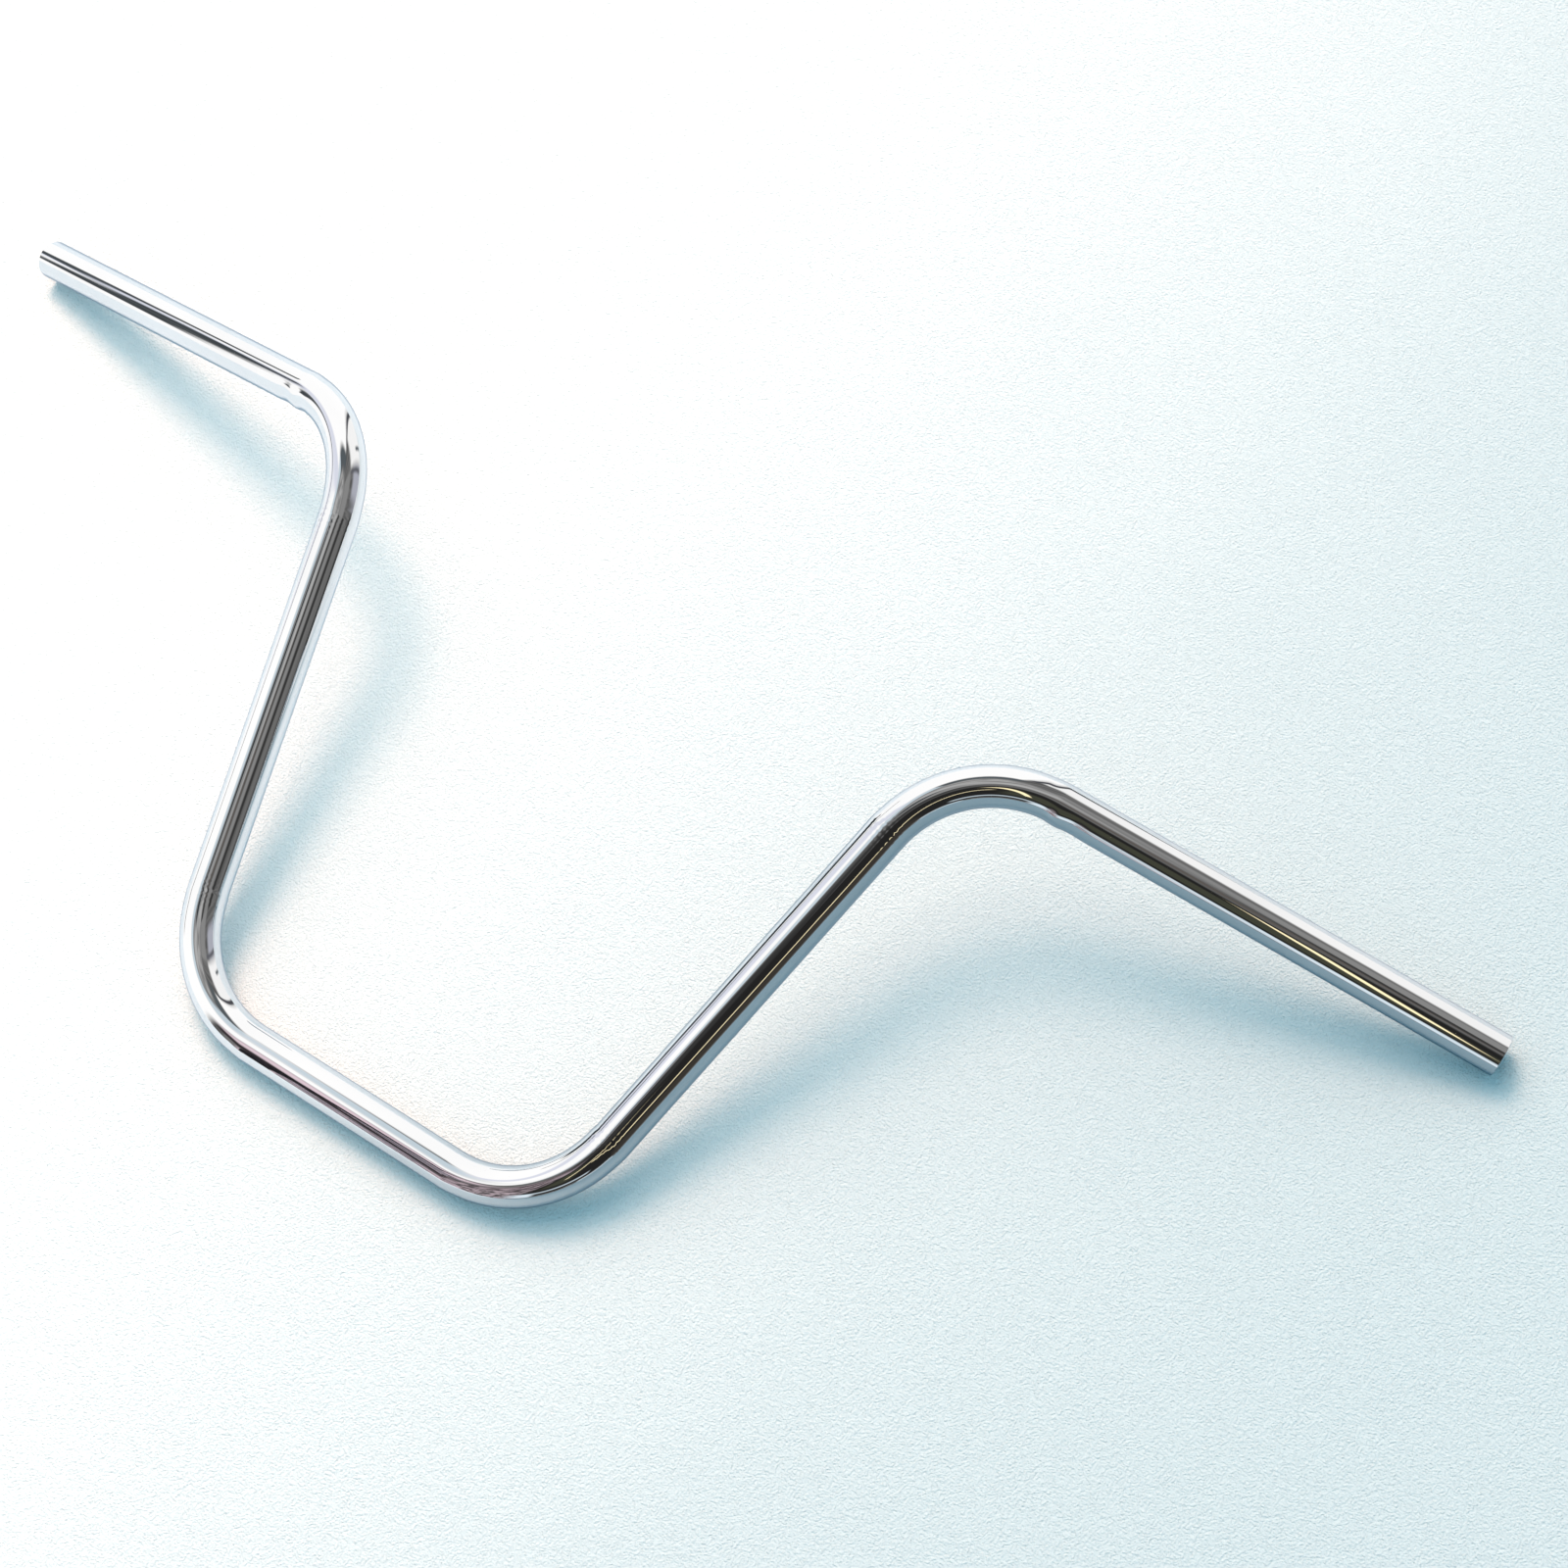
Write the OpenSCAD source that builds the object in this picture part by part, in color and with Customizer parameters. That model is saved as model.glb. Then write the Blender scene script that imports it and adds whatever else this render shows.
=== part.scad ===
// Motorcycle handlebar: one tube bent four times, a straight for the handlebar clamp in the
// middle, two risers leaning outward, and two straights for the grips swept back from them.
// Lengths are in millimetres, angles in degrees.
// Frame: the origin is the centre of the clamp straight. +X runs along the clamp axis to the
// right grip, +Y from the clamp towards the tube ends, and +Z is up from the flat surface the
// bar rests on. The clamp straight and both tube ends touch that surface at z = -tube_d / 2.

/* [Tube] */
// Outside diameter of the tube
tube_d = 22.2; // [20:0.1:26]
// Wall thickness of the tube
wall_t = 2.0; // [1:0.1:4]
// Chamfer left on the outer and inner edge of each tube end after deburring
end_chamfer = 0.3; // [0.1:0.05:0.45]

/* [Bends] */
// Centreline radius of all four bends
bend_r = 70; // [40:1:90]
// Outward lean of each riser from the straight-ahead direction
riser_lean = 12.5; // [0:0.5:35]
// Sweep of each grip straight out of the riser plane, towards the rider
grip_sweep = 17; // [5:0.5:30]

/* [Lengths] */
// Distance between the centreline corners of the two lower bends
clamp_corner_gap = 246; // [220:1:320]
// Distance along a riser between its two centreline corners
riser_corner_gap = 321; // [240:1:420]
// Distance from an upper centreline corner to the tube end
grip_corner_to_end = 305; // [200:1:360]

/* [Hidden] */
$fn = 96;
tube_r = tube_d / 2;
bore_r = tube_r - wall_t;
chrome = [0.80, 0.82, 0.84];

// How far a bore cut runs past each end of a straight, so that it leaves no skin.
cut_overrun = 1;

// Both bends turn the tube through an angle found from the directions they join.
lower_bend_angle = 90 - riser_lean;
upper_bend_angle = acos(sin(riser_lean) * cos(grip_sweep));

// Turn of the tube about its own axis before the upper bend, measured from the riser plane.
upper_bend_roll = 180 + atan2(sin(grip_sweep), cos(grip_sweep) * cos(riser_lean));

// Each bend takes this much off the straights on both sides of its centreline corner.
lower_setback = bend_r * tan(lower_bend_angle / 2);
upper_setback = bend_r * tan(upper_bend_angle / 2);
clamp_half_len = clamp_corner_gap / 2 - lower_setback;
riser_len = riser_corner_gap - lower_setback - upper_setback;
grip_len = grip_corner_to_end - upper_setback;

// Tilt about the clamp axis that brings the tube ends down to the resting surface.
end_forward = riser_corner_gap * cos(riser_lean);
end_drop = grip_corner_to_end * sin(grip_sweep);
level_tilt = atan2(end_drop, end_forward);
end_slope = asin(sin(grip_sweep) * cos(level_tilt));
end_rim_lift = tube_r * (1 - cos(end_slope));
rest_tilt = level_tilt - asin(end_rim_lift / norm([end_forward, end_drop]));

// Straight tube starting at the origin and running along +Y.
module straight_tube(length) {
    rotate([-90, 0, 0])
        difference() {
            cylinder(h = length, r = tube_r);
            translate([0, 0, -cut_overrun])
                cylinder(h = length + 2 * cut_overrun, r = bore_r);
        }
}

// Straight tube along +Y whose far end is deburred inside and out.
module ended_tube(length) {
    rotate([-90, 0, 0])
        rotate_extrude()
            polygon([
                [bore_r, 0],
                [tube_r, 0],
                [tube_r, length - end_chamfer],
                [tube_r - end_chamfer, length],
                [bore_r + end_chamfer, length],
                [bore_r, length - end_chamfer],
            ]);
}

// Bend that leaves the origin along +Y and curves towards -X.
module bent_tube(angle) {
    translate([-bend_r, 0, 0])
        rotate_extrude(angle = angle)
            translate([bend_r, 0])
                difference() {
                    circle(r = tube_r);
                    circle(r = bore_r);
                }
}

// Moves the working frame to the far end of a straight.
module past_straight(length) {
    translate([0, length, 0])
        children();
}

// Moves the working frame to the far end of a bend.
module past_bend(angle) {
    translate([-bend_r, 0, 0])
        rotate([0, 0, angle])
            translate([bend_r, 0, 0])
                children();
}

// Turns the working frame about the tube's own axis.
module rolled(angle) {
    rotate([0, angle, 0])
        children();
}

// Working frames of the right half, from the clamp centre outwards.
module at_clamp_centre() {
    rotate([rest_tilt, 0, 0])
        rotate([0, 0, -90])
            children();
}
module at_lower_bend() {
    at_clamp_centre()
        past_straight(clamp_half_len)
            children();
}
module at_riser() {
    at_lower_bend()
        past_bend(lower_bend_angle)
            children();
}
module at_upper_bend() {
    at_riser()
        past_straight(riser_len)
            rolled(upper_bend_roll)
                children();
}
module at_grip() {
    at_upper_bend()
        past_bend(upper_bend_angle)
            children();
}

// The left half is the right half mirrored across the plane X = 0.
module left_side() {
    mirror([1, 0, 0])
        children();
}

// The straight that the handlebar clamp holds.
module clamp_section() {
    color(chrome)
        at_clamp_centre()
            past_straight(-clamp_half_len)
                straight_tube(2 * clamp_half_len);
}

// The bends between the clamp straight and the risers.
module lower_bend_right() {
    color(chrome)
        at_lower_bend()
            bent_tube(lower_bend_angle);
}
module lower_bend_left() {
    left_side() lower_bend_right();
}

// The risers.
module riser_right() {
    color(chrome)
        at_riser()
            straight_tube(riser_len);
}
module riser_left() {
    left_side() riser_right();
}

// The bends between the risers and the grip straights.
module upper_bend_right() {
    color(chrome)
        at_upper_bend()
            bent_tube(upper_bend_angle);
}
module upper_bend_left() {
    left_side() upper_bend_right();
}

// The straights that carry the grips and controls, open at their outer ends.
module grip_section_right() {
    color(chrome)
        at_grip()
            ended_tube(grip_len);
}
module grip_section_left() {
    left_side() grip_section_right();
}

clamp_section();
lower_bend_left();
lower_bend_right();
riser_left();
riser_right();
upper_bend_left();
upper_bend_right();
grip_section_left();
grip_section_right();
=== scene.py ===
from math import acos, asin, atan2, cos, hypot, pi, radians, sin, tan

import bpy
import numpy as np
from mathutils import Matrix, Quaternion, Vector


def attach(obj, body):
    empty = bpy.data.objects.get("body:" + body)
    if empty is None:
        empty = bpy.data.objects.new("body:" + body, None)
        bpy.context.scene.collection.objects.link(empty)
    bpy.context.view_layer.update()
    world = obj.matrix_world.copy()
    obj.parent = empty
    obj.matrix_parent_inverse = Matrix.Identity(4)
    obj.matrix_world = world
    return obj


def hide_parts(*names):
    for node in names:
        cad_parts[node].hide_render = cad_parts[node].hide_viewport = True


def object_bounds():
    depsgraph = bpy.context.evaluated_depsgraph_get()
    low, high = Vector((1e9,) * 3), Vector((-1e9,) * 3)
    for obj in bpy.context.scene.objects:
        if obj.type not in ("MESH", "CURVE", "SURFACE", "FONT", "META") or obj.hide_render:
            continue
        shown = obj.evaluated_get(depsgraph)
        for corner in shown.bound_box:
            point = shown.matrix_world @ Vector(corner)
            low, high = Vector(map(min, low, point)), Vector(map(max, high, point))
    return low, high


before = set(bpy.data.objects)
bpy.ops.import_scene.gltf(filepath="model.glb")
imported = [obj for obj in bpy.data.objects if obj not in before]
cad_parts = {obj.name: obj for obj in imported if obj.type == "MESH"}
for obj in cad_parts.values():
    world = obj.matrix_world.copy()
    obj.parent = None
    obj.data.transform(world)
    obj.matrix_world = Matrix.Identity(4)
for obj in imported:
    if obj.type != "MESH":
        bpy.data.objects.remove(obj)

CAD_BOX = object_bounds()

# A chromed motorcycle handlebar, one continuous bent tube, shown as the nine stretches of the CAD part.
# Metres throughout, in the CAD frame: origin in the middle of the clamp stretch, +X to the right grip,
# +Y from the clamp to the grips and +Z up from the floor the bar lies on.

# ---------------------------------------------------------------- driving dimensions, as in the CAD
TUBE_R = 0.0111
BORE_R = 0.0091
END_CHAMFER = 0.0003
BEND_R = 0.070
RISER_LEAN = radians(12.5)
GRIP_SWEEP = radians(17)
CLAMP_CORNER_GAP = 0.246
RISER_CORNER_GAP = 0.321
GRIP_CORNER_TO_END = 0.305

# ---------------------------------------------------------------- mesh fineness
SIDES = 128
FINE_STEP = 0.0010
COARSE_STEP = 0.0040
FINE_REACH = 0.028

# ---------------------------------------------------------------- marks that the bending machine leaves
FLATTENING = 0.00035
FLATTENING_RAMP = 0.009
GRIP_SIDE_HUMP = 0.00058
GRIP_SIDE_HUMP_LENGTH = 0.0050
HUMP_BEFORE_BEND = 0.001
DIP_BEFORE_BEND = 0.011
DIP_SHARE = 0.45
RISER_SIDE_STEP = 0.00040
RISER_SIDE_STEP_LENGTH = 0.0035
STEP_FADE_SHARE = 0.6
DIE_SCUFF = 0.000022
DIE_SCUFF_PITCH = 0.0034
DIE_SCUFF_REACH = 0.0070

STRETCHES = (
    "grip_section_left",
    "upper_bend_left",
    "riser_left",
    "lower_bend_left",
    "clamp_section",
    "lower_bend_right",
    "riser_right",
    "upper_bend_right",
    "grip_section_right",
)


# ================================================================ the bar's centre line
def unit(v):
    return v / np.linalg.norm(v)


def rest_tilt():
    """How far the bar tips up about the clamp axis when the clamp stretch and both tips touch the floor."""
    end_forward = RISER_CORNER_GAP * cos(RISER_LEAN)
    end_drop = GRIP_CORNER_TO_END * sin(GRIP_SWEEP)
    level_tilt = atan2(end_drop, end_forward)
    end_slope = asin(sin(GRIP_SWEEP) * cos(level_tilt))
    end_rim_lift = TUBE_R * (1 - cos(end_slope))
    return level_tilt - asin(end_rim_lift / hypot(end_forward, end_drop))


def tilted(v, angle):
    x, y, z = v
    return np.array((x, y * cos(angle) - z * sin(angle), y * sin(angle) + z * cos(angle)))


def bar_corners():
    """Where the straight stretches would meet without their bends, from the left tip to the right tip."""
    tilt = rest_tilt()
    riser_heading = tilted((sin(RISER_LEAN), cos(RISER_LEAN), 0), tilt)
    grip_heading = tilted((cos(GRIP_SWEEP), 0, -sin(GRIP_SWEEP)), tilt)
    lower = np.array((CLAMP_CORNER_GAP / 2, 0, 0))
    upper = lower + RISER_CORNER_GAP * riser_heading
    tip = upper + GRIP_CORNER_TO_END * grip_heading
    right = [lower, upper, tip]
    left = [corner * (-1, 1, 1) for corner in reversed(right)]
    return left + right


def turned(v, axis, angles):
    """Vector v turned about a unit axis by each of the angles."""
    c, s = np.cos(angles)[:, None], np.sin(angles)[:, None]
    return v * c + np.cross(axis, v) * s + axis * np.dot(axis, v) * (1 - c)


def plan_stretches():
    """The nine stretches in order. Each has its length, where and how it starts, and a bend has its axis."""
    corners = bar_corners()
    plan = []
    at = corners[0]
    for before, corner, after in zip(corners, corners[1:], corners[2:]):
        heading, leaving = unit(corner - before), unit(after - corner)
        axis = unit(np.cross(heading, leaving))
        turn = acos(np.dot(heading, leaving))
        setback = BEND_R * tan(turn / 2)
        start = corner - setback * heading
        plan.append({"from": at, "heading": heading, "length": np.linalg.norm(start - at)})
        plan.append({"from": start, "heading": heading, "axis": axis, "length": BEND_R * turn})
        at = corner + setback * leaving
    plan.append({"from": at, "heading": leaving, "length": np.linalg.norm(corners[-1] - at)})
    side = unit(np.cross(plan[0]["heading"], (0, 0, 1)))
    begun = 0.0
    for name, stretch in zip(STRETCHES, plan):
        stretch["name"], stretch["begins"], stretch["side"] = name, begun, side
        if "axis" in stretch:
            inward = np.cross(stretch["axis"], stretch["heading"])
            other = np.cross(stretch["heading"], side)
            stretch["inner_angle"] = atan2(np.dot(inward, other), np.dot(inward, side))
            side = turned(side, stretch["axis"], np.array([stretch["length"] / BEND_R]))[0]
        begun += stretch["length"]
        stretch["ends"] = begun
    return plan


def stations_of(stretch):
    """Distances along a stretch where its rings stand: close together in a bend and next to one."""
    length = stretch["length"]
    if "axis" in stretch:
        return np.linspace(0, length, round(length / FINE_STEP) + 1)
    fine = np.linspace(0, FINE_REACH, round(FINE_REACH / FINE_STEP) + 1)
    middle = length - 2 * FINE_REACH
    coarse = np.linspace(0, middle, round(middle / COARSE_STEP) + 1)[1:-1] + FINE_REACH
    return np.concatenate((fine, coarse, length - fine[::-1]))


def centre_line(stretch, along):
    """Points, headings and side vectors at distances along one stretch."""
    count = len(along)
    if "axis" not in stretch:
        points = stretch["from"] + along[:, None] * stretch["heading"]
        return points, np.tile(stretch["heading"], (count, 1)), np.tile(stretch["side"], (count, 1))
    axis, angles = stretch["axis"], along / BEND_R
    outward = -np.cross(axis, stretch["heading"])
    centre = stretch["from"] - BEND_R * outward
    points = centre + BEND_R * turned(outward, axis, angles)
    return points, turned(stretch["heading"], axis, angles), turned(stretch["side"], axis, angles)


# ================================================================ marks left by bending
def eased(x):
    x = np.clip(x, 0, 1)
    return x * x * (3 - 2 * x)


def bump_at(along, centre, length):
    return np.exp(-(((along - centre) / length) ** 2))


def bending_marks(plan, along, angle):
    """How far the tube wall stands out from a true round tube, on a grid of stations by ring angles."""
    out = np.zeros((len(along), len(angle)))
    for bend in (s for s in plan if "axis" in s):
        begins, ends = bend["begins"], bend["ends"]
        grip_side, clamp_side = (begins, ends) if "left" in bend["name"] else (ends, begins)
        into_bend = 1 if clamp_side > grip_side else -1
        from_inner = angle - bend["inner_angle"]
        inner = eased(np.cos(from_inner))[None, :]
        outer = eased(-np.cos(from_inner))[None, :]

        ramp_in = eased((along - begins) / FLATTENING_RAMP)
        ramp_out = eased((ends - along) / FLATTENING_RAMP)
        out -= FLATTENING * (ramp_in * ramp_out)[:, None] * outer

        past = (along - grip_side) * into_bend
        if "upper" in bend["name"]:
            hump = bump_at(past, -HUMP_BEFORE_BEND, GRIP_SIDE_HUMP_LENGTH)
            dip = bump_at(past, -DIP_BEFORE_BEND, GRIP_SIDE_HUMP_LENGTH)
            out += GRIP_SIDE_HUMP * (hump - DIP_SHARE * dip)[:, None] * inner
            mark_at = clamp_side
        else:
            rise = eased(past / RISER_SIDE_STEP_LENGTH + 0.5)
            fade = 1 - eased(past / (bend["length"] * STEP_FADE_SHARE))
            out += RISER_SIDE_STEP * (rise * fade)[:, None] * inner
            mark_at = grip_side

        # Die scuffs: two waves of different pitch that swirl round the tube, so they look uneven.
        beyond = (along - mark_at)[:, None]
        swirl = from_inner[None, :]
        wave = 2 * pi * beyond / DIE_SCUFF_PITCH
        scuff = np.sin(wave + 1.5 * np.sin(3 * swirl)) + 0.7 * np.sin(1.7 * wave + 5 * swirl)
        out += DIE_SCUFF * scuff * bump_at(beyond, 0, DIE_SCUFF_REACH)
    return out


# ================================================================ the swept tube
def sweep_bar(plan):
    """Rings of the whole bar: for the outer face and the bore, points and normals at every station."""
    angle = np.arange(SIDES) * 2 * pi / SIDES
    along, points, headings, sides, spans = [], [], [], [], {}
    for stretch in plan:
        local = stations_of(stretch)
        if along:
            local = local[1:]
        first = sum(map(len, along)) - (1 if along else 0)
        p, h, s = centre_line(stretch, local)
        along.append(local + stretch["begins"])
        points.append(p)
        headings.append(h)
        sides.append(s)
        spans[stretch["name"]] = (first, sum(map(len, along)))
    along, points, headings, sides = map(np.concatenate, (along, points, headings, sides))
    others = np.cross(headings, sides)
    marks = bending_marks(plan, along, angle)
    radial = (
        np.cos(angle)[None, :, None] * sides[:, None, :]
        + np.sin(angle)[None, :, None] * others[:, None, :]
    )
    skins = {}
    for name, radius, facing in (("outer", TUBE_R, 1), ("bore", BORE_R, -1)):
        grid = points[:, None, :] + (radius + marks)[:, :, None] * radial
        d_along = np.gradient(grid, along, axis=0)
        d_around = np.roll(grid, -1, 1) - np.roll(grid, 1, 1)
        normal = np.cross(d_around, d_along)
        normal /= np.linalg.norm(normal, axis=2, keepdims=True)
        if np.sum(normal[0] * radial[0]) < 0:
            normal = -normal
        skins[name] = {"points": grid, "normals": facing * normal, "radius": radius + marks}
    bar = {"along": along, "angle": angle, "centre": points, "heading": headings, "radial": radial}
    return bar, skins, spans


def ring_at_tip(bar, end, inset, radius):
    """A ring a short way in from an open tip's cut face. The end is 0 for the left tip, -1 for the right."""
    inward = bar["heading"][0] if end == 0 else -bar["heading"][-1]
    return bar["centre"][end] + inset * inward + radius * bar["radial"][end]


def closed_loop(name, bar, skins, span):
    """Rings that run along the outer face, over the far end, back along the bore and over the near end,
    with each ring's distance along the bar and its radius, and the normals at both edges of each strip."""
    first, past = span
    count = past - first
    along = bar["along"][first:past]
    outer, bore = (skins[skin]["points"][first:past].copy() for skin in ("outer", "bore"))
    tip_rings = {}
    for end, tip_name in ((0, STRETCHES[0]), (-1, STRETCHES[-1])):
        tip_rings[end] = np.empty((0, SIDES, 3))
        if name == tip_name:
            outer[end] = ring_at_tip(bar, end, END_CHAMFER, TUBE_R)
            bore[end] = ring_at_tip(bar, end, END_CHAMFER, BORE_R)
            edges = (TUBE_R - END_CHAMFER, BORE_R + END_CHAMFER)
            tip_rings[end] = np.array([ring_at_tip(bar, end, 0, radius) for radius in edges])
    high, low = tip_rings[-1], tip_rings[0][::-1]

    def all_round(outer_part, high_part, bore_part, low_part):
        parts = (outer_part, np.array([high_part] * len(high)), bore_part, np.array([low_part] * len(low)))
        return np.concatenate([part for part in parts if len(part)])

    flat_high = np.tile(bar["heading"][past - 1], (SIDES, 1))
    flat_low = np.tile(-bar["heading"][first], (SIDES, 1))
    rings = np.concatenate((outer, high, bore[::-1], low))
    spot = all_round(along, along[-1], along[::-1], along[0])
    middle_r = (TUBE_R + BORE_R) / 2 + END_CHAMFER
    radii = all_round(np.full(count, TUBE_R), middle_r, np.full(count, BORE_R), middle_r)
    own = all_round(
        skins["outer"]["normals"][first:past],
        flat_high,
        skins["bore"]["normals"][first:past][::-1],
        flat_low,
    )
    seen_from, seen_to = own.copy(), np.roll(own, -1, axis=0)
    if not len(high):
        seen_from[count - 1] = seen_to[count - 1] = flat_high
    if not len(low):
        seen_from[-1] = seen_to[-1] = flat_low
    return rings, spot, radii, seen_from, seen_to


def build_section(name, bar, skins, span):
    """One closed solid stretch of tube, with exact normals so that no seam shows between stretches."""
    rings, spot, radii, seen_from, seen_to = closed_loop(name, bar, skins, span)
    count = len(rings)
    k, j = np.meshgrid(np.arange(count), np.arange(SIDES), indexing="ij")
    k_next, j_next = (k + 1) % count, (j + 1) % SIDES
    quads = np.stack((k * SIDES + j, k * SIDES + j_next, k_next * SIDES + j_next, k_next * SIDES + j), -1)
    normals = np.stack((seen_from[k, j], seen_from[k, j_next], seen_to[k, j_next], seen_to[k, j]), 2)
    across = np.cross(rings[1, 0] - rings[0, 0], rings[0, 1] - rings[0, 0])
    if np.dot(across, seen_from[0, 0]) > 0:
        quads, normals = quads[:, :, ::-1], normals[:, :, ::-1]

    mesh = bpy.data.meshes.new(name + "_mesh")
    mesh.from_pydata(rings.reshape(-1, 3).tolist(), [], quads.reshape(-1, 4).tolist())
    mesh.update()
    mesh.shade_smooth()
    mesh.normals_split_custom_set(normals.reshape(-1, 3).tolist())

    # Each point's place on the straightened tube, for materials whose grain follows the tube.
    place = np.empty((count, SIDES, 3))
    place[:, :, 0] = spot[:, None]
    place[:, :, 1] = radii[:, None] * np.cos(bar["angle"])[None, :]
    place[:, :, 2] = radii[:, None] * np.sin(bar["angle"])[None, :]
    tube_place = mesh.attributes.new("tube_place", "FLOAT_VECTOR", "POINT")
    tube_place.data.foreach_set("vector", place.reshape(-1).astype(np.float32))

    piece = bpy.data.objects.new(name + "_chrome", mesh)
    bpy.context.collection.objects.link(piece)
    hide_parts(name)
    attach(piece, "root")
    return piece


# ================================================================ helpers for node materials
def linked(tree, node, socket, value):
    """Sets an input to a plain value, or links it to another node's output."""
    target = node.inputs[socket]
    if isinstance(value, bpy.types.NodeSocket):
        tree.links.new(value, target)
    else:
        target.default_value = value


def maths(tree, operation, a, b=0.0, c=0.0):
    node = tree.nodes.new("ShaderNodeMath")
    node.operation = operation
    for socket, value in enumerate((a, b, c)):
        linked(tree, node, socket, value)
    return node.outputs[0]


def product(tree, a, b):
    return maths(tree, "MULTIPLY", a, b)


def scaled_sum(tree, a, factor, b):
    """a * factor + b"""
    return maths(tree, "MULTIPLY_ADD", a, factor, b)


def distance_from_zero(tree, a, b):
    return maths(tree, "SQRT", maths(tree, "ADD", product(tree, a, a), product(tree, b, b)))


def split_vector(tree, vector):
    node = tree.nodes.new("ShaderNodeSeparateXYZ")
    tree.links.new(vector, node.inputs[0])
    return node.outputs


def dotted(tree, vector, axis):
    node = tree.nodes.new("ShaderNodeVectorMath")
    node.operation = "DOT_PRODUCT"
    tree.links.new(vector, node.inputs[0])
    node.inputs[1].default_value = axis
    return node.outputs["Value"]


def ramped(tree, value, low, high, to_low=0.0, to_high=1.0):
    """Eases from to_low to to_high while value goes from low to high."""
    node = tree.nodes.new("ShaderNodeMapRange")
    node.interpolation_type = "SMOOTHSTEP"
    sockets = ("Value", "From Min", "From Max", "To Min", "To Max")
    for socket, setting in zip(sockets, (value, low, high, to_low, to_high)):
        linked(tree, node, socket, setting)
    return node.outputs["Result"]


def band(tree, value, low, high, soft):
    """1 while value is between low and high, easing to 0 outside."""
    rise = ramped(tree, value, low - soft, low + soft)
    fall = ramped(tree, value, high - soft, high + soft, 1.0, 0.0)
    return product(tree, rise, fall)


def noise(tree, place, scale, detail=2.0, stretch=(1, 1, 1)):
    """Cloudy noise from 0 to 1, with about scale lumps per unit of place."""
    mapping = tree.nodes.new("ShaderNodeMapping")
    mapping.inputs["Scale"].default_value = [scale * s for s in stretch]
    tree.links.new(place, mapping.inputs["Vector"])
    node = tree.nodes.new("ShaderNodeTexNoise")
    node.inputs["Scale"].default_value = 1.0
    node.inputs["Detail"].default_value = detail
    tree.links.new(mapping.outputs["Vector"], node.inputs["Vector"])
    return node.outputs["Fac"]


def mixed(tree, amount, a, b):
    """Colour a where amount is 0 and colour b where it is 1."""
    node = tree.nodes.new("ShaderNodeMix")
    node.data_type = "RGBA"
    linked(tree, node, "Factor", amount)
    for socket, colour in ((6, a), (7, b)):
        linked(tree, node, socket, colour if isinstance(colour, bpy.types.NodeSocket) else (*colour, 1))
    return node.outputs[2]


def bumped(tree, shader, height, depth):
    """Raises the surface's relief by depth, in metres, where height goes up by one."""
    bump = tree.nodes.new("ShaderNodeBump")
    bump.inputs["Strength"].default_value = 1.0
    bump.inputs["Distance"].default_value = depth
    tree.links.new(height, bump.inputs["Height"])
    tree.links.new(bump.outputs["Normal"], shader.inputs["Normal"])


def new_material(name):
    material = bpy.data.materials.new(name)
    material.use_nodes = True
    tree = material.node_tree
    return material, tree, tree.nodes["Principled BSDF"]


# ================================================================ chrome
PLATE_COLOUR = (0.55, 0.60, 0.64)
PLATE_BRIGHT = (0.58, 0.63, 0.67)
DUST_COLOUR = (0.42, 0.43, 0.45)
STEEL_COLOUR = (0.30, 0.29, 0.28)
RUST_COLOUR = (0.16, 0.10, 0.07)
PLATE_PAINTED_OUTLINE_SHADE = (0.40, 0.47, 0.55)
PLATE_TINT = (0.92, 0.95, 0.99)
PLATING_ENDS = 0.012
STEEL_BARE_BY = 0.030
POLISH_DEPTH = 0.000018


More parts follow.
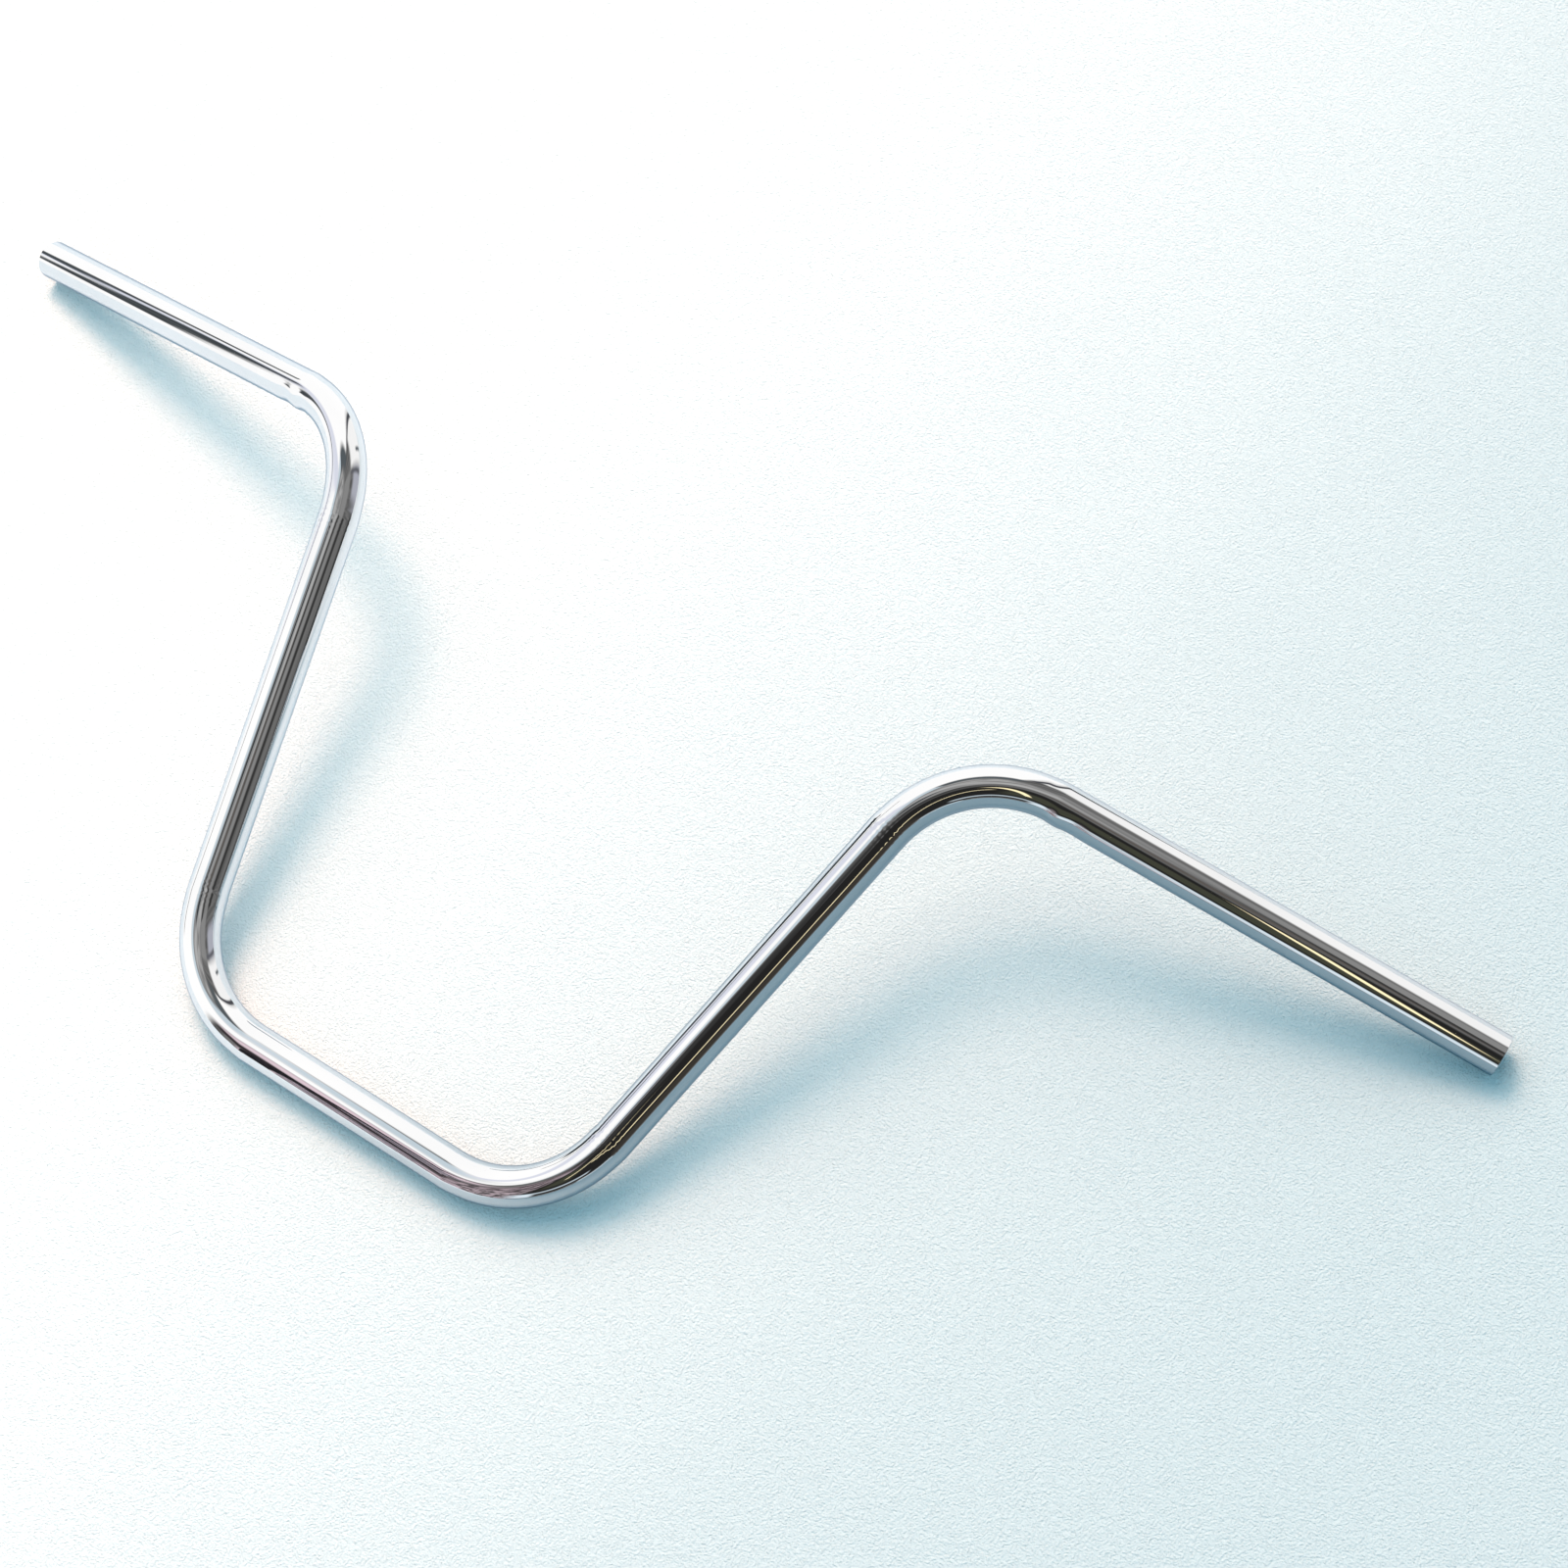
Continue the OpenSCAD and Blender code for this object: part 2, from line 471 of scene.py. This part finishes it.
def chrome(bar_length):
    """Bright chrome plate on a polished steel tube, going to dull bare steel down the bore, with a painted
    darker outline.
    """
    material, tree, shader = new_material("bright_chrome")
    read = tree.nodes.new("ShaderNodeAttribute")
    read.attribute_name = "tube_place"
    place = read.outputs["Vector"]
    along, side, other = split_vector(tree, place)

    # Plate tone: broad soft patches, and a few fine specks of dust and pitting.
    patches = noise(tree, place, 30, 3, (0.4, 1, 1))
    tone = mixed(tree, ramped(tree, patches, 0.3, 0.7), PLATE_COLOUR, PLATE_BRIGHT)
    specks = ramped(tree, noise(tree, place, 900), 0.70, 0.78)
    speck_zones = ramped(tree, noise(tree, place, 25), 0.45, 0.7)
    dust = product(tree, specks, speck_zones)
    plate = mixed(tree, product(tree, dust, 0.35), tone, DUST_COLOUR)

    # The plating thins out inside the bore, a thumb's width in from the open end.
    radius = distance_from_zero(tree, side, other)
    in_bore = maths(tree, "LESS_THAN", radius, (TUBE_R + BORE_R) / 2)
    depth = maths(tree, "MINIMUM", along, maths(tree, "SUBTRACT", bar_length, along))
    ragged = scaled_sum(tree, noise(tree, place, 120, 3), PLATING_ENDS, depth)
    bare = product(tree, in_bore, ramped(tree, ragged, PLATING_ENDS, STEEL_BARE_BY))
    rust = ramped(tree, noise(tree, place, 260, 4), 0.50, 0.72)
    steel = mixed(tree, product(tree, rust, 0.6), STEEL_COLOUR, RUST_COLOUR)
    linked(tree, shader, "Base Color", mixed(tree, bare, plate, steel))
    shader.inputs["Metallic"].default_value = 1.0

    # Painted shade: the tube's outline is painted as a thin, darker and bluer line in its reflections.
    facing = tree.nodes.new("ShaderNodeLayerWeight").outputs["Facing"]
    painted_outline_shade = ramped(tree, facing, 0.66, 0.80)
    linked(tree, shader, "Specular Tint", mixed(tree, painted_outline_shade, PLATE_TINT, PLATE_PAINTED_OUTLINE_SHADE))

    # Gloss: nearly a mirror, a little hazier in patches, dull on the specks and in the bore.
    haze = ramped(tree, noise(tree, place, 45, 3, (0.5, 1, 1)), 0.35, 0.75, 0.010, 0.026)
    gloss = scaled_sum(tree, dust, 0.15, haze)
    linked(tree, shader, "Roughness", scaled_sum(tree, bare, 0.38, gloss))

    # Relief: polishing left long soft waves along the tube and hair lines round it.
    waves = noise(tree, place, 110, 1, (0.22, 1, 1))
    hair = noise(tree, place, 1500, 2, (1, 0.06, 0.06))
    height = scaled_sum(tree, hair, 0.02, waves)
    height = scaled_sum(tree, dust, 0.2, height)
    height = scaled_sum(tree, product(tree, bare, rust), 8, height)
    bumped(tree, shader, height, POLISH_DEPTH)
    return material


# ================================================================ floor
# Painted light: the sheet is painted brightest by the window and greyer and cooler to the right, as the
# window light falls off.
SHEET_PAINTED_WINDOW_LIGHT = (0.83, 0.815, 0.805)
SHEET_PAINTED_FALLOFF = (0.50, 0.575, 0.60)
SHEET_IN_DISTANCE = (0.68, 0.71, 0.715)
# Painted shade: the sheet's colour where the chrome reflects its darker right-hand part.
SHEET_PAINTED_SHADE_IN_CHROME = (0.262, 0.357, 0.405)
SHEET_SPECKS = (0.35, 0.40, 0.42)
# Painted glow on the sheet by the window, seen only in the chrome's reflections.
PAINTED_GLARE_COLOUR = (0.97, 1.0, 1.0)
PAINTED_GLARE_STRENGTH = 0.24
PEBBLE_DEPTH = 0.0015
# The right grip stands over the line y = GRIP_LINE + GRIP_SLOPE * x on the sheet.
GRIP_LINE = 0.285
GRIP_SLOPE = 0.083
PAST_GRIP_LINE = 0.025


def sheet_tone_and_painted_light(tree, place):
    """Painted light: whitest under the window, painted a little greyer and cooler to the right as the light
    falls off, and even far from the bar.
    """
    x, y, _ = split_vector(tree, place)
    right = scaled_sum(tree, noise(tree, place, 5), 0.10, x)
    # Painted light falloff: from the painted window light on the left to the painted greyer, cooler tone on
    # the right.
    tone = mixed(tree, ramped(tree, right, -0.35, 0.60), SHEET_PAINTED_WINDOW_LIGHT, SHEET_PAINTED_FALLOFF)
    from_bar = distance_from_zero(tree, x, y)
    tone = mixed(tree, ramped(tree, from_bar, 1.3, 3.5), tone, SHEET_IN_DISTANCE)

    # Painted shade: in the chrome's reflections the sheet is painted darker on the right, on the clamp's
    # side of the grip, than the eye sees it.
    beside_grip = scaled_sum(tree, x, -GRIP_SLOPE, y)
    painted_shade_before_grip = ramped(tree, beside_grip, GRIP_LINE, GRIP_LINE + PAST_GRIP_LINE, 1.0, 0.0)
    painted_shade_on_right = product(tree, ramped(tree, right, -0.08, 0.30), painted_shade_before_grip)
    in_chrome = tree.nodes.new("ShaderNodeLightPath").outputs["Is Glossy Ray"]
    reflected_with_painted_shade = mixed(tree, painted_shade_on_right, SHEET_PAINTED_WINDOW_LIGHT, SHEET_PAINTED_SHADE_IN_CHROME)
    tone = mixed(tree, in_chrome, tone, reflected_with_painted_shade)

    # Painted light: by the window the sheet is given a painted glow brighter than white, which shows only in
    # what the chrome reflects.
    painted_glare = product(tree, in_chrome, ramped(tree, right, -0.15, 0.40, PAINTED_GLARE_STRENGTH, 0.0))
    return tone, painted_glare


def floor_material():
    """Pale, finely pebbled sheet with a few grey specks, with the window light's falloff painted into its
    colour and a painted glow seen only in the chrome.
    """
    material, tree, shader = new_material("pale_pebbled_sheet_painted_light")
    place = tree.nodes.new("ShaderNodeTexCoord").outputs["Object"]
    tone, painted_glare = sheet_tone_and_painted_light(tree, place)
    specks = ramped(tree, noise(tree, place, 650, 1), 0.78, 0.82)
    linked(tree, shader, "Base Color", mixed(tree, product(tree, specks, 0.25), tone, SHEET_SPECKS))
    shader.inputs["Roughness"].default_value = 0.85
    shader.inputs["Specular IOR Level"].default_value = 0.15
    # Painted light: the sheet glows by the window in what the chrome reflects.
    shader.inputs["Emission Color"].default_value = (*PAINTED_GLARE_COLOUR, 1)
    linked(tree, shader, "Emission Strength", painted_glare)
    bumped(tree, shader, noise(tree, place, 950), PEBBLE_DEPTH)
    return material


def build_floor():
    reach = 12.0
    z = CAD_BOX[0].z
    mesh = bpy.data.meshes.new("floor_mesh")
    corners = [(-reach, -reach, z), (reach, -reach, z), (reach, reach, z), (-reach, reach, z)]
    mesh.from_pydata(corners, [], [(0, 1, 2, 3)])
    floor = bpy.data.objects.new("floor", mesh)
    floor.data.materials.append(floor_material())
    bpy.context.collection.objects.link(floor)


# ================================================================ the room that the chrome reflects
# The middle of the window wall, in degrees anticlockwise from +X. Bearings below are degrees on from it,
# anticlockwise seen from above, and heights are degrees above the horizon.
WINDOW_BEARING = 165
NEUTRAL, BLUISH, LILAC, PINK, OLIVE, GOLD = (
    (1.0, 1.0, 1.0),
    (0.86, 1.0, 1.10),
    (0.95, 0.98, 1.12),
    (1.10, 0.88, 0.98),
    (1.0, 1.05, 0.75),
    (1.15, 1.0, 0.62),
)
WARM_GREY = (1.08, 0.97, 0.90)
OLD_WOOD = (1.10, 0.98, 0.84)
# What stands round the bar, furthest first: left and right bearing, bottom and top height,
# softness of the edges, brightness as the chrome shows it, and tint.
SURROUNDINGS = (
    ("pale end wall", -155, -104, 48, 73, 5, 0.23, NEUTRAL),
    ("end wall below it", -132, -104, -6, 34, 7, 0.40, LILAC),
    ("high shelf", -205, -154, 50, 63, 4, 0.22, NEUTRAL),
    ("gap under the shelf", -205, -150, 36, 47, 3, 0.035, NEUTRAL),
    ("beam", -205, -152, 66, 72, 2, 0.042, NEUTRAL),
    ("beam, other end", 150, 205, 66, 72, 2, 0.095, WARM_GREY),
    ("low dark skirting", -162, -135, -3, 10, 3, 0.040, NEUTRAL),
    ("blinds", -104, -66, -12, 47, 5, 0.86, NEUTRAL),
    ("gap in the blinds", -111, -107, 0, 46, 2, 0.12, LILAC),
    ("edge of the blinds", -95, -92, -8, 18, 1.5, 0.12, BLUISH),
    ("dark coving", -72, -6, 62, 72, 3, 0.10, BLUISH),
    ("bright coving", -6, 70, 60, 71, 3, 0.62, BLUISH),
    ("window wall", -66, 63, -16, 61, 3, 0.955, NEUTRAL),
    ("window frame", -71.5, -67.5, -8, 54, 1.2, 0.07, LILAC),
    ("window sill", 2, 20, -7, 15, 1.5, 0.035, BLUISH),
    ("window post", 13, 26, 10, 62, 3, 0.70, LILAC),
    ("curtain rail", 66, 78, 62.5, 66.5, 1, 0.16, LILAC),
    ("rail bracket", 80, 94, 63.5, 67.5, 1, 0.36, NEUTRAL),
    ("lamp rim", 72, 104, 74, 82, 2, 0.045, BLUISH),
    ("dark doorway", 84, 140, 34, 71, 3, 0.035, NEUTRAL),
    ("doorway", 112, 187, 5, 62, 4, 0.016, NEUTRAL),
    ("coat", 118, 134, 26, 50, 3, 0.050, OLIVE),
    ("wooden chest", 163, 187, 6, 26, 4, 0.036, OLD_WOOD),
    ("pink curtain", 64, 77, 32, 52, 4, 0.62, PINK),
    ("curtain shadow", 66, 86, 18, 30, 2, 0.035, PINK),
    ("pink curtain, hem", 74, 92, -6, 13, 3, 0.40, PINK),
    ("white boxes", 108, 121, 2, 17, 2, 0.76, BLUISH),
    ("white shelf edge", 119, 150, 12, 17, 1.5, 0.55, BLUISH),
    ("white tray", 146, 165, -4, 3, 1.5, 0.62, BLUISH),
)
# Thin straight lamps and dark rails: both ends as bearing and height, half width in degrees,
# brightness and tint.
STREAKS = (
    ((139, 55.5), (128, 35), 0.75, 1.0, GOLD),
    ((170, 28), (138, 44), 0.80, 0.90, GOLD),
    ((22, 19), (-1, 24.8), 1.0, 0.07, BLUISH),
    ((39, 9.6), (30, 18.0), 1.5, 0.060, BLUISH),
    ((30, 18.0), (17, 24.6), 1.3, 0.060, BLUISH),
)
# A hanging cloth with deep folds: left and right bearing, bottom and top height, softness.
FOLDED_CLOTH = (82, 112, -4, 58, 4)
FOLDED_CLOTH_AMOUNT = 0.65
CEILING_FROM, CEILING_BY = 71, 77
FILL_COLOUR = (0.42, 0.80, 0.97)
BACKDROP_COLOUR = (0.88, 0.92, 0.93)


def as_seen(level, tint=NEUTRAL):
    """The light that looks this bright and this tint once the plate has reflected it."""
    return tuple(level * shade / plate for shade, plate in zip(tint, PLATE_COLOUR))


def direction(turn, rise):
    return Vector((cos(rise) * cos(turn), cos(rise) * sin(turn), sin(rise)))


def bearing_and_height(tree, facing):
    """Both in degrees, for the way a ray goes."""
    to_window = tree.nodes.new("ShaderNodeVectorRotate")
    to_window.rotation_type = "Z_AXIS"
    to_window.inputs["Angle"].default_value = -radians(WINDOW_BEARING)
    tree.links.new(facing, to_window.inputs["Vector"])
    x, y, z = split_vector(tree, to_window.outputs[0])
    bearing = product(tree, maths(tree, "ARCTAN2", y, x), 180 / pi)
    height = product(tree, maths(tree, "ARCSINE", z), 180 / pi)
    return bearing, height


def upright_place(tree, bearing, height, across, up):
    """A place for patterns on the walls, with cells per degree across bearings and up the heights."""
    joined = tree.nodes.new("ShaderNodeCombineXYZ")
    linked(tree, joined, 0, product(tree, bearing, across))
    linked(tree, joined, 1, product(tree, height, up))
    return joined.outputs[0]


def patch(tree, bearing, height, below, colour, block, amount=1.0):
    """Lays a soft-edged block of colour over what is below it."""
    left, right, low, high, soft = block
    shape = product(tree, band(tree, bearing, left, right, soft), band(tree, height, low, high, soft))
    return mixed(tree, product(tree, shape, amount), below, colour)


def streak(tree, facing, below, colour, start, end, half_width):
    """Lays a thin straight lamp or rail, seen between two directions, over what is below it."""
    a, b = (direction(radians(WINDOW_BEARING + turn), radians(rise)) for turn, rise in (start, end))
    across, middle = a.cross(b).normalized(), (a + b).normalized()
    edge = sin(radians(half_width))
    reach = cos(a.angle(b) / 2)
    aside = maths(tree, "ABSOLUTE", dotted(tree, facing, across))
    within_width = ramped(tree, aside, edge * 0.6, edge * 1.4, 1.0, 0.0)
    within_length = ramped(tree, dotted(tree, facing, middle), reach - 0.004, reach + 0.002)
    return mixed(tree, product(tree, within_width, within_length), below, colour)


def room(tree):
    """The colours that the chrome reflects, by direction."""
    facing = tree.nodes.new("ShaderNodeTexCoord").outputs["Generated"]
    bearing, height = bearing_and_height(tree, facing)
    streaks = noise(tree, upright_place(tree, bearing, height, 0.16, 0.012), 1.0, 3)
    seen = mixed(tree, ramped(tree, streaks, 0.3, 0.7), as_seen(0.085), as_seen(0.16))
    clouds = ramped(tree, noise(tree, facing, 6), 0.35, 0.65)
    ceiling = mixed(tree, clouds, as_seen(0.20), as_seen(0.40))
    seen = mixed(tree, ramped(tree, height, CEILING_FROM, CEILING_BY), seen, ceiling)
    for _, left, right, low, high, soft, level, tint in SURROUNDINGS:
        seen = patch(tree, bearing, height, seen, as_seen(level, tint), (left, right, low, high, soft))
    folds = noise(tree, upright_place(tree, bearing, height, 0.30, 0.16), 1.0, 3)
    cloth = mixed(tree, ramped(tree, folds, 0.40, 0.60), as_seen(0.035, PINK), as_seen(0.52, PINK))
    seen = patch(tree, bearing, height, seen, cloth, FOLDED_CLOTH, FOLDED_CLOTH_AMOUNT)
    for start, end, half_width, level, tint in STREAKS:
        seen = streak(tree, facing, seen, as_seen(level, tint), start, end, half_width)
    return seen


def build_studio():
    """The room for what reflects, a soft cool fill for everything else, and a plain pale backdrop."""
    world = bpy.data.worlds.new("studio")
    bpy.context.scene.world = world
    world.use_nodes = True
    tree = world.node_tree
    tree.nodes.clear()

    def background(colour):
        node = tree.nodes.new("ShaderNodeBackground")
        linked(tree, node, "Color", colour)
        return node.outputs[0]

    def chosen(by_ray, otherwise, then):
        node = tree.nodes.new("ShaderNodeMixShader")
        for socket, output in enumerate((rays.outputs[by_ray], otherwise, then)):
            tree.links.new(output, node.inputs[socket])
        return node.outputs[0]

    rays = tree.nodes.new("ShaderNodeLightPath")
    lit = chosen("Is Glossy Ray", background((*FILL_COLOUR, 1)), background(room(tree)))
    shown = chosen("Is Camera Ray", lit, background((*BACKDROP_COLOUR, 1)))
    output = tree.nodes.new("ShaderNodeOutputWorld")
    tree.links.new(shown, output.inputs["Surface"])


# ================================================================ lights
# Soft warm daylight from the window's side: name, strength, colour and width in radians.
DAYLIGHT_AZIMUTH = radians(134.5)
DAYLIGHT_ELEVATION = radians(53.6)
DAYLIGHT = (
    ("window_light", 2.0, (1.0, 0.60, 0.44), 0.38),
    ("window_glow", 2.85, (1.0, 0.78, 0.64), 1.05),
)


def build_daylight():
    towards = direction(DAYLIGHT_AZIMUTH, DAYLIGHT_ELEVATION)
    for name, strength, colour, width in DAYLIGHT:
        light = bpy.data.lights.new(name, "SUN")
        light.energy = strength
        light.color = colour
        light.angle = width
        lamp = bpy.data.objects.new(name, light)
        lamp.rotation_mode = "QUATERNION"
        lamp.rotation_quaternion = towards.to_track_quat("Z", "Y")
        lamp.visible_glossy = False
        bpy.context.collection.objects.link(lamp)


# ================================================================ cards
# Cards standing near the bar, seen only in its reflections: where the foot is, the card's width,
# bottom and top, and its colour. They all run the same way along the floor.
CARD_RUN = Vector((0.87, -0.49)).normalized()
CARDS = (
    ("dark_post", (-0.418, -0.700), 0.042, 0.0, 1.05, (0.025, 0.016, 0.020)),
    ("pink_cloth", (-0.345, -0.735), 0.120, 0.44, 0.80, (0.62, 0.44, 0.46)),
    ("pink_fold", (-0.345, -0.735), 0.120, 0.10, 0.27, (0.62, 0.44, 0.46)),
    ("dark_hem", (-0.335, -0.738), 0.130, 0.0, 0.04, (0.08, 0.075, 0.085)),
)


def build_cards():
    """Cards out of the camera's sight that give the chrome its near reflections."""
    for name, foot, width, bottom, top, colour in CARDS:
        half = CARD_RUN * width / 2
        a, b = Vector(foot) - half, Vector(foot) + half
        mesh = bpy.data.meshes.new(name + "_mesh")
        mesh.from_pydata([(*a, bottom), (*b, bottom), (*b, top), (*a, top)], [], [(0, 1, 2, 3)])
        card = bpy.data.objects.new(name, mesh)
        material, tree, shader = new_material(name + "_surface")
        place = tree.nodes.new("ShaderNodeTexCoord").outputs["Object"]
        # Painted shade: each card is painted darker in cloudy patches, standing in for shade in cloth folds.
        folds = ramped(tree, noise(tree, place, 24, 4), 0.40, 0.60)
        painted_fold_shade = tuple(0.35 * c for c in colour)
        linked(tree, shader, "Base Color", mixed(tree, folds, painted_fold_shade, colour))
        shader.inputs["Roughness"].default_value = 0.9
        mesh.materials.append(material)
        card.visible_camera = card.visible_diffuse = card.visible_shadow = False
        bpy.context.collection.objects.link(card)


# ================================================================ camera
CAMERA_AZIMUTH = radians(54.07)
CAMERA_ELEVATION = radians(61.90)
CAMERA_ROLL = radians(-21.12)
CAMERA_AIM_X, CAMERA_AIM_Y = 0.0843, 0.2694
CAMERA_DISTANCE = 2.044
SENSOR_MM = 36
LENS_MM = 88.85


def build_camera():
    """The photograph's viewpoint: high on the right of the clamp, long lens, rolled to one side."""
    data = bpy.data.cameras.new("camera")
    data.sensor_width = SENSOR_MM
    data.lens = LENS_MM
    data.clip_start, data.clip_end = 0.05, 60
    back = direction(CAMERA_AZIMUTH - pi / 2, CAMERA_ELEVATION)
    aim = Vector((CAMERA_AIM_X, CAMERA_AIM_Y, CAD_BOX[0].z))
    roll = Quaternion((0, 0, 1), CAMERA_ROLL)
    camera = bpy.data.objects.new("camera", data)
    camera.location = aim + CAMERA_DISTANCE * back
    camera.rotation_mode = "QUATERNION"
    camera.rotation_quaternion = (-back).to_track_quat("-Z", "Y") @ roll
    bpy.context.collection.objects.link(camera)
    bpy.context.scene.camera = camera


# ================================================================ the scene
build_camera()
build_studio()
build_daylight()
build_floor()
build_cards()
bpy.context.scene.view_settings.view_transform = "Standard"

plan = plan_stretches()
bar, skins, spans = sweep_bar(plan)
plated = chrome(plan[-1]["ends"])
for stretch_name in STRETCHES:
    section = build_section(stretch_name, bar, skins, spans[stretch_name])
    section.data.materials.append(plated)
